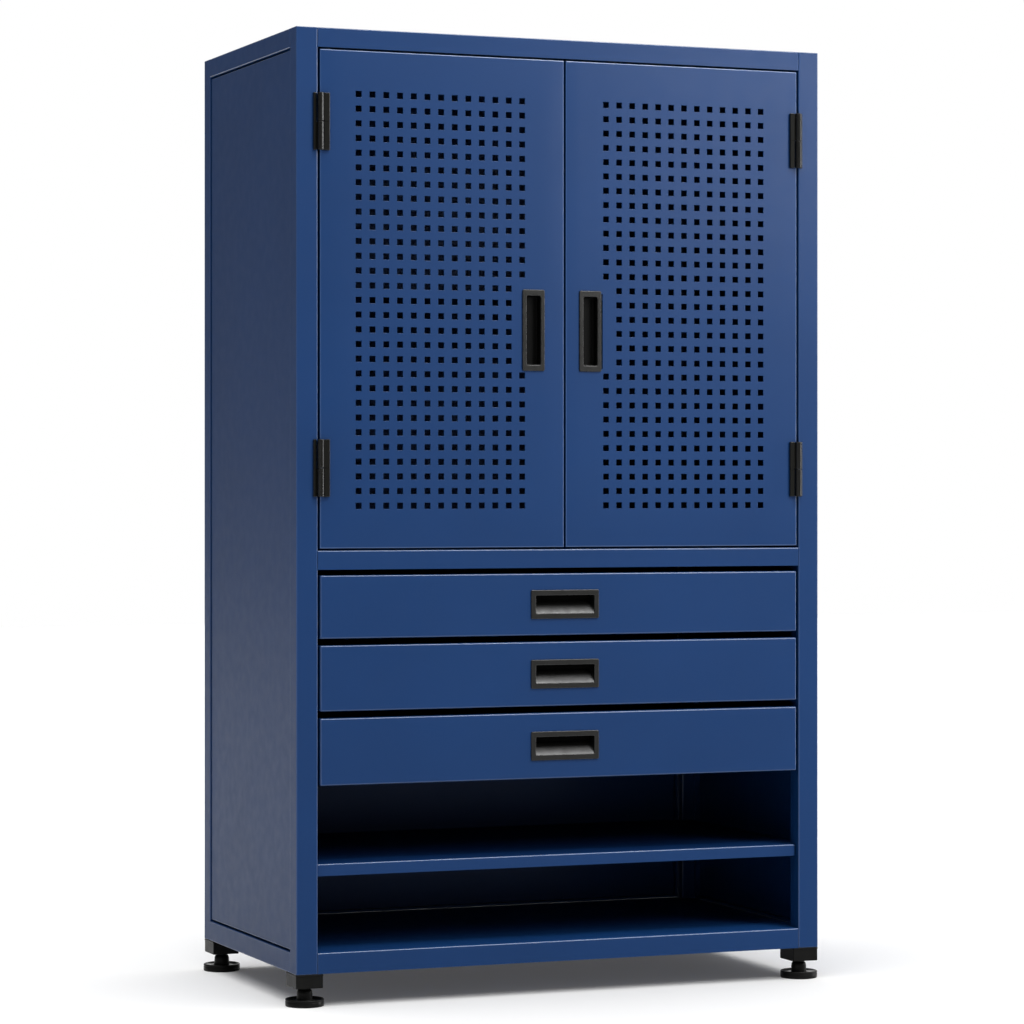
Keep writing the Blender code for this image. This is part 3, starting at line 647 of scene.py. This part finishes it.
def door_skin(side):
    """The punched front sheet of a door: grid lines run half way between the holes, and round the pull."""
    node = f"{side}_door_skin"
    (x0, x1), (y0, y1), (z0, z1) = box_of(node)
    way = -1.0 if side == "left" else 1.0
    columns = PATTERN_FROM_MIDDLE[side] + way * PITCH * (np.arange(COLUMNS) - COLUMNS // 2)
    heights = PATTERN_HEIGHT + PITCH * (np.arange(ROWS) - ROWS // 2)
    (p0, p1), _, (q0, q1) = box_of(f"{side}_door_pull")
    inset, lip = 0.0058, 0.0050
    near = p0 + inset if side == "right" else p1 - inset
    far = (columns[0] + HOLE / 2 + 0.0012) if side == "left" else (columns[0] - HOLE / 2 - 0.0012)
    sorted_columns = np.sort(columns)
    x_lines = list((sorted_columns[1:] + sorted_columns[:-1]) / 2)
    x_lines += [x0 + FOLD, x1 - FOLD, near, far, columns[-1] + way * PITCH / 2]
    xs = np.sort(np.array(x_lines))
    lines = list((heights[1:] + heights[:-1]) / 2)
    # the lines below and above the rows beside the pull move to its cut-out's edges
    below, above = BLANK.start - 1, BLANK.stop - 2
    lines[below] = max(heights[below] + HOLE / 2 + 0.006, q0 + lip)
    lines[above] = q1 - lip
    zs = np.sort(np.array(lines + [z0 + FOLD, z1 - FOLD, heights[0] - PITCH / 2, heights[-1] + PITCH / 2]))
    hole_x = np.full(len(xs) - 1, np.nan)
    for column in columns:
        hole_x[np.searchsorted(xs, column) - 1] = column
    hole_z = np.full(len(zs) - 1, np.nan)
    for height in heights:
        hole_z[np.searchsorted(zs, height) - 1] = height
    rows = np.searchsorted(zs, heights) - 1
    blank = np.zeros((len(xs) - 1, len(zs) - 1), dtype=bool)
    blank[np.searchsorted(xs, columns[0]) - 1, rows[BLANK.start]:rows[BLANK.stop - 1] + 1] = True
    mid_x, mid_z = (xs[1:] + xs[:-1]) / 2, (zs[1:] + zs[:-1]) / 2
    a, b = min(near, far), max(near, far)
    opening = ((mid_x > a) & (mid_x < b))[:, None] & ((mid_z > lines[below]) & (mid_z < lines[above]))[None, :]
    sheet = punched_sheet(xs, zs, hole_x, hole_z, blank, opening, y0, y1, FOLD)
    # the outer fold takes the lighter, glossier edge finish as painted highlight
    make(node, [sheet], (BLUE, DOOR_EDGE_HIGHLIGHT), border_highlight_of(node), crease=8.0)


def stiffener(side):
    """A channel folded round behind the door: its section carried round the door's outline."""
    node = f"{side}_door_stiffener"
    (x0, x1), (y0, y1), (z0, z1) = box_of(node)
    wide, fold = 0.0250, 0.0018
    at = outline((x0, x1, z0, z1), 0.0)
    stations = [at(SHEET, y0), at(0.0, y0), *bend(at(0.0, y1 - fold), at(fold, y1), False)]
    stations += [*bend(at(wide - fold, y1), at(wide, y1 - fold), True), at(wide, y0), at(wide - SHEET, y0)]
    stations += [at(wide - SHEET, y1 - SHEET), at(SHEET, y1 - SHEET)]
    make(node, [shell(ring_stack(stations, "xzy"), closed=True)], COAT_WITH_FOLD_HIGHLIGHT)


def door_pull(side):
    """An upright moulded cup: cup floor, walls, rim with rounded edges, and the sleeve behind it."""
    node = f"{side}_door_pull"
    (x0, x1), (y0, y1), (z0, z1) = box_of(node)
    rim, deep = y0, y1
    skin = rim + 0.0025
    band, end_band = 0.0075, 0.0105

    def at(side_inset, end_inset, corner, depth):
        return (x0 + side_inset, x1 - side_inset, z0 + end_inset, z1 - end_inset, corner, depth)

    lip = 0.0012
    floor = deep - 0.0020
    foot = at(band + 0.0028, end_band + 0.0028, 0.0004, floor)
    stations = [*bend(foot, at(band + 0.0008, end_band + 0.0008, 0.0024, floor - 0.002), True)]
    edge = at(band - lip, end_band - lip, 0.0042, rim)
    stations += [*bend(at(band, end_band, 0.0030, rim + lip), edge, False)]
    stations += [*bend(at(0.0010, 0.0010, 0.0020, rim), at(0.0, 0.0, 0.0030, rim + 0.0010), True)]
    stations += [at(0.0, 0.0, 0.0030, skin), at(0.0035, 0.0035, 0.0005, skin)]
    stations += [at(0.0035, 0.0035, 0.0005, deep - 0.001), at(0.0045, 0.0045, 0.0, deep)]
    # the cup finish darkens inwards as painted shade; the rounded rim edges take a lighter, glossier finish as
    # painted highlight
    finishes = (MOULDED, cup(f"black_moulded_cup_painted_shade_{side}", rim, 0.0060, 0.06), RIM_HIGHLIGHT)
    rule = rounded_before(rim + 0.0012, 2, deeper_than(rim + 0.0012))
    make(node, [shell(ring_stack(stations, "xzy", 5))], finishes, rule)


def hinge_half(side, place, on_door):
    """Half a lift-off hinge: a turned knuckle, a rounded leaf with a notch at mid height, and their neck."""
    half = "door_half" if on_door else "post_half"
    node = f"{place}_{side}_hinge_{half}"
    (x0, x1), (_, y1), (z0, z1) = box_of(node)
    pin_x, pin_y, _ = PIN_OF[f"{side}_door"]
    middle = (z0 + z1) / 2
    low, high = (middle + 0.0004, z1) if on_door else (z0, middle - 0.0004)
    radius, edge = BARREL - GAP, 0.0009
    turn = np.linspace(0.0, np.pi / 2, 5)
    rise = [(radius - edge * (1 - math.sin(t)), low + edge * (1 - math.cos(t))) for t in turn]
    crown = [(radius - edge * (1 - math.cos(t)), high - edge * (1 - math.sin(t))) for t in turn]
    knuckle = [(radius - edge - HOLD, low), *rise, (radius, low + edge + HOLD)]
    knuckle += [(radius, high - edge - HOLD), *crown, (radius - edge - HOLD, high)]
    shells = [shell(turned(knuckle, (pin_x, pin_y), 48))]

    towards = 1.0 if (side == "left") == on_door else -1.0
    free = x1 if towards > 0 else x0
    thick = 0.0050 if on_door else 0.0030
    face, back = y1 - thick, y1
    clear = BARREL + 0.0005
    rise_over = BARREL - thick - GAP
    reach = math.sqrt(max(clear**2 - rise_over**2, 0.0)) + 0.0001
    root = pin_x + towards * reach
    a0, a1 = min(root, free), max(root, free)

    def at(inset, height):
        return (a0 + inset, a1 - inset, face + inset, back, max(0.0011 - inset, 0.0001), height)

    notch, deep = 0.0006, 0.0007
    stations = [at(0.0008, z0), at(0.0002, z0 + 0.0003), at(0.0, z0 + 0.0008), at(0.0, z0 + 0.0012)]
    stations += [at(0.0, middle - notch - HOLD), at(0.0, middle - notch), at(deep, middle - 0.0002)]
    stations += [at(deep, middle + 0.0002), at(0.0, middle + notch), at(0.0, middle + notch + HOLD)]
    stations += [at(0.0, z1 - 0.0012), at(0.0, z1 - 0.0008), at(0.0002, z1 - 0.0003), at(0.0008, z1)]
    shells.append(shell(ring_stack(stations, "xyz", 3)))
    neck0, neck1 = sorted((pin_x, pin_x + towards * (reach + 0.001)))
    neck = [(neck0, neck1, face + 0.0002, back - 0.0001, 0.0003, h) for h in (low + 0.001, high - 0.001)]
    shells.append(shell(ring_stack(neck, "xyz", 2)))
    # the rounded faces take the glossier knuckle finish as painted highlight
    make(node, shells, (STEEL, KNUCKLE_HIGHLIGHT_STEEL))


# ---- drawers


def drawer_front(number):
    """A folded front with a cut-out for the pull and a return flange behind."""
    node = f"drawer_{number}_front"
    (x0, x1), (y0, y1), (z0, z1) = box_of(node)
    (p0, p1), _, (q0, q1) = box_of(f"drawer_{number}_pull")
    inset = 0.0032
    at = outline((x0, x1, z0, z1), 0.0015)

    def cut_out(depth):
        return (p0 + inset, p1 - inset, q0 + inset, q1 - inset, 0.0008, depth)

    flange = 0.0140
    stations = [cut_out(y0), *bend(at(FOLD, y0), at(0.0, y0 + FOLD), True)]
    stations += [*bend(at(0.0, y1 - FOLD), at(FOLD, y1), False), at(flange, y1), at(flange, y1 - SHEET)]
    stations += [at(SHEET, y1 - SHEET), at(SHEET, y0 + SHEET), cut_out(y0 + SHEET)]
    make(node, [shell(ring_stack(stations, "xzy"), closed=True)], COAT_WITH_FOLD_HIGHLIGHT)


def drawer_tray(number):
    """An open tray: floor, rounded foot, walls, their top edges, and the inside with a rounded foot, all in a
    darker finish as painted shade.
    """
    node = f"drawer_{number}_tray"
    (x0, x1), (y0, y1), (z0, z1) = box_of(node)
    at = outline((x0, x1, y0, y1), 0.0012)
    stations = [*bend(at(FOLD, z0), at(0.0, z0 + FOLD), True)]
    stations += [*bend(at(0.0, z1 - 0.0006), at(0.0006, z1), False, 2)]
    stations += [at(SHEET, z1), at(SHEET, z0 + SHEET + 0.0008), at(SHEET + 0.0008, z0 + SHEET)]
    # the darker inside finish over the whole tray is painted shade
    make(node, [shell(ring_stack(stations, "xyz"))], (SHADED_INSIDE,))


def drawer_pull(number):
    """A moulded scoop: rim with rounded edges, then sections whose lower side climbs as they go back.

    The floor climbs by its height times the sine of a quarter turn's share, steep at the lip and level behind.
    """
    node = f"drawer_{number}_pull"
    (x0, x1), (y0, y1), (z0, z1) = box_of(node)
    rim, deep = y0, y1
    skin = rim + 0.0025
    side, end, lip = 0.0088, 0.0095, 0.0010
    back = deep - 0.0020
    throat = 0.0100
    climb = (z1 - z0) - 2 * end - throat

    def at(side_inset, low_inset, high_inset, corner, depth):
        return (x0 + side_inset, x1 - side_inset, z0 + low_inset, z1 - high_inset, corner, depth)

    def depth_at(share):
        return rim + lip + share * (back - rim - lip)

    shares = np.linspace(0.0, 1.0, SCOOP_BANDS + 1)[::-1]
    stations = []
    for share in shares:
        rise = climb * math.sin(share * math.pi / 2)
        stations.append(at(side + 0.0006 * share, end + rise, end + 0.0004 * share, 0.0014, depth_at(share)))
    edge = at(side - lip, end - lip, end - lip, 0.0024, rim)
    stations += [*bend(at(side, end, end, 0.0014, rim + lip), edge, False)][1:]
    stations += [*bend(at(0.0010, 0.0010, 0.0010, 0.0012, rim), at(0.0, 0.0, 0.0, 0.0022, rim + 0.0010), True)]
    stations += [at(0.0, 0.0, 0.0, 0.0022, skin), at(0.0035, 0.0035, 0.0035, 0.0005, skin)]
    stations += [at(0.0035, 0.0035, 0.0035, 0.0005, deep - 0.001), at(0.0045, 0.0045, 0.0045, 0.0, deep)]
    # painted shade: each band back from the lip takes a copy of the finish that reflects less
    shade_bands = deeper_than(*[depth_at(share) for share in shares[:0:-1]])
    # the rounded rim edges in front take the lighter, glossier finish as painted highlight
    rule = rounded_before(rim + 0.0010, len(SHADED_SCOOP) + 1, shade_bands)
    make(node, [shell(ring_stack(stations, "xzy", 5))], (MOULDED, *SHADED_SCOOP, RIM_HIGHLIGHT), rule)


# ---- feet


def foot_block(node):
    """A square moulded block with a slightly proud band along its top."""
    (x0, x1), (y0, y1), (z0, z1) = box_of(node)
    at = outline((x0, x1, y0, y1), 0.0020)
    step, band = 0.0006, 0.0030
    stations = [*bend(at(step + 0.0012, z0), at(step, z0 + 0.0012), True)]
    stations += [at(step, z1 - band - step), at(0.0, z1 - band), at(0.0, z1 - 0.0006), at(0.0006, z1)]
    make(node, [shell(ring_stack(stations, "xyz"))], (FOOT,))


def levelling_foot(node):
    """A turned pad: stud, domed hub, dished top with a raised rim, rounded edge and flat sole."""
    (x0, x1), (y0, y1), (_, z1) = box_of(node)
    centre, radius = ((x0 + x1) / 2, (y0 + y1) / 2), (x1 - x0) / 2
    stud, hub, shoulder, hub_top = 0.0090, 0.0135, 0.0215, 0.0290
    turn = np.linspace(0.0, np.pi / 2, 7)
    dome = [(stud + (hub - stud) * math.sin(t), shoulder + (hub_top - shoulder) * math.cos(t)) for t in turn]
    dish, rim = 0.0095, 0.0128
    crest = radius - 0.0022
    cove = [(hub + 0.0004 + 0.0015 * (1 - math.cos(t)), dish + 0.0015 * (1 - math.sin(t))) for t in turn[::2]]
    lip = [(crest - 0.0016 * math.cos(t), rim - 0.0016 * (1 - math.sin(t))) for t in turn[::2]]
    edge = [(radius - 0.0018 * (1 - math.sin(t)), rim - 0.0018 * (1 - math.cos(t))) for t in turn[::2]]
    foot = [(radius - 0.0018 * (1 - math.cos(t)), 0.0018 * (1 - math.sin(t))) for t in turn[::2]]
    profile = [(stud - 0.0008, z1), (stud, z1 - 0.0008), (stud, hub_top + HOLD), *dome, (hub, shoulder - HOLD)]
    profile += [*cove, (crest - 0.0040, dish), *lip, *edge, (radius, 0.0100), (radius - 0.0004, 0.0094)]
    profile += [(radius - 0.0004, 0.0088), (radius, 0.0082), *foot]
    make(node, [shell(turned(profile, centre))], (FOOT,), crease=38.0)


setup_camera()
setup_studio()
BLUE = powder_coat("blue_powder_coat", (0.0030, 0.0243, 0.0900))
# painted highlight: a lighter, glossier copy of the blue coat for the faces over folds
FOLD_HIGHLIGHT = powder_coat("blue_powder_coat_painted_fold_highlight", (0.0090, 0.036, 0.115), 0.32, 0.36, 0.35)
# painted highlight: a still lighter, glossier copy of the blue coat for the doors' outer folds
DOOR_EDGE_HIGHLIGHT = powder_coat("blue_powder_coat_painted_door_edge_highlight", (0.0140, 0.0500, 0.1500), 0.36, 0.40, 0.50)
DUSTY = powder_coat("blue_powder_coat_dusty_top", (0.0100, 0.0340, 0.1000), 0.80, 0.0, 0.0)
# the blue coat, its painted fold highlight, and the matt top
COAT_WITH_FOLD_HIGHLIGHT = (BLUE, FOLD_HIGHLIGHT, DUSTY)
# painted shade: a darker, duller copy of the blue coat for the shelves' upper faces and the drawer trays
SHADED_INSIDE = powder_coat("blue_powder_coat_inside_painted_shade", (0.0018, 0.0140, 0.0560), 0.60, 0.05, 0.0)
MOULDED = moulded("black_moulded_pull", (0.0060, 0.0060, 0.0055), 0.32)
# painted highlight: a lighter, glossier copy of the moulded black for the pulls' rounded rim edges
RIM_HIGHLIGHT = moulded("black_moulded_edge_painted_highlight", (0.010, 0.010, 0.0098), 0.28, 0.40)
# painted shade: copies of the scoop's black that reflect less and less from the lip to the back
SHADED_SCOOP = [
    moulded(f"black_moulded_scoop_painted_shade_{k}", (0.003, 0.003, 0.0028), 0.34, 0.32 * math.exp(-k / 2.4))
    for k in range(SCOOP_BANDS)
]
FOOT = moulded("black_moulded_foot", (0.0040, 0.0040, 0.0037), 0.34, 0.09)
STEEL = powder_coat("black_steel", (0.0060, 0.0060, 0.0052), 0.45, 0.04, 0.0)
# painted highlight: a darker, glossier copy of the hinge steel for the rounded faces, so that the knuckles
# carry bright lines while the leaves stay matt
KNUCKLE_HIGHLIGHT_STEEL = powder_coat("black_steel_knuckles_painted_highlight", (0.0035, 0.0035, 0.0030), 0.26, 0.25, 0.20)
ZINC = zinc("zinc_plate")

FINISH_OF_SLOT = {
    "blue_powder_coat": BLUE,
    "black_plastic": FOOT,
    "catch_plastic": MOULDED,
    "black_steel": STEEL,
    "zinc_plate": ZINC,
}
for name, node in frame["nodes"].items():
    for place in node.material_slots:
        place.material = FINISH_OF_SLOT[SLOT_OF[name]]

for end in ("front", "rear"):
    for side in ("left", "right"):
        post(f"{end}_{side}_post")
        foot_block(f"{end}_{side}_foot_block")
        levelling_foot(f"{end}_{side}_levelling_foot")
for side in ("left", "right"):
    for place in ("top", "bottom"):
        pan(f"{place}_{side}_rail", "yzx", 0.0016, from_high=side == "right")
    inset_panel(f"{side}_side_panel", "yzx", side == "right", 0.0032)
    door_skin(side)
    stiffener(side)
    door_pull(side)
    for place in ("lower", "upper"):
        hinge_half(side, place, True)
        hinge_half(side, place, False)
pan("top_pan", "xyz", 0.0016, from_high=True)
pan("floor_pan", "xyz", FOLD, from_high=True)
inset_panel("back_panel", "xzy", True, 0.0032)
for node in ("divider_pan", "bay_shelf", "locker_shelf"):
    shelf(node)
for number in (1, 2, 3):
    drawer_front(number)
    drawer_tray(number)
    drawer_pull(number)
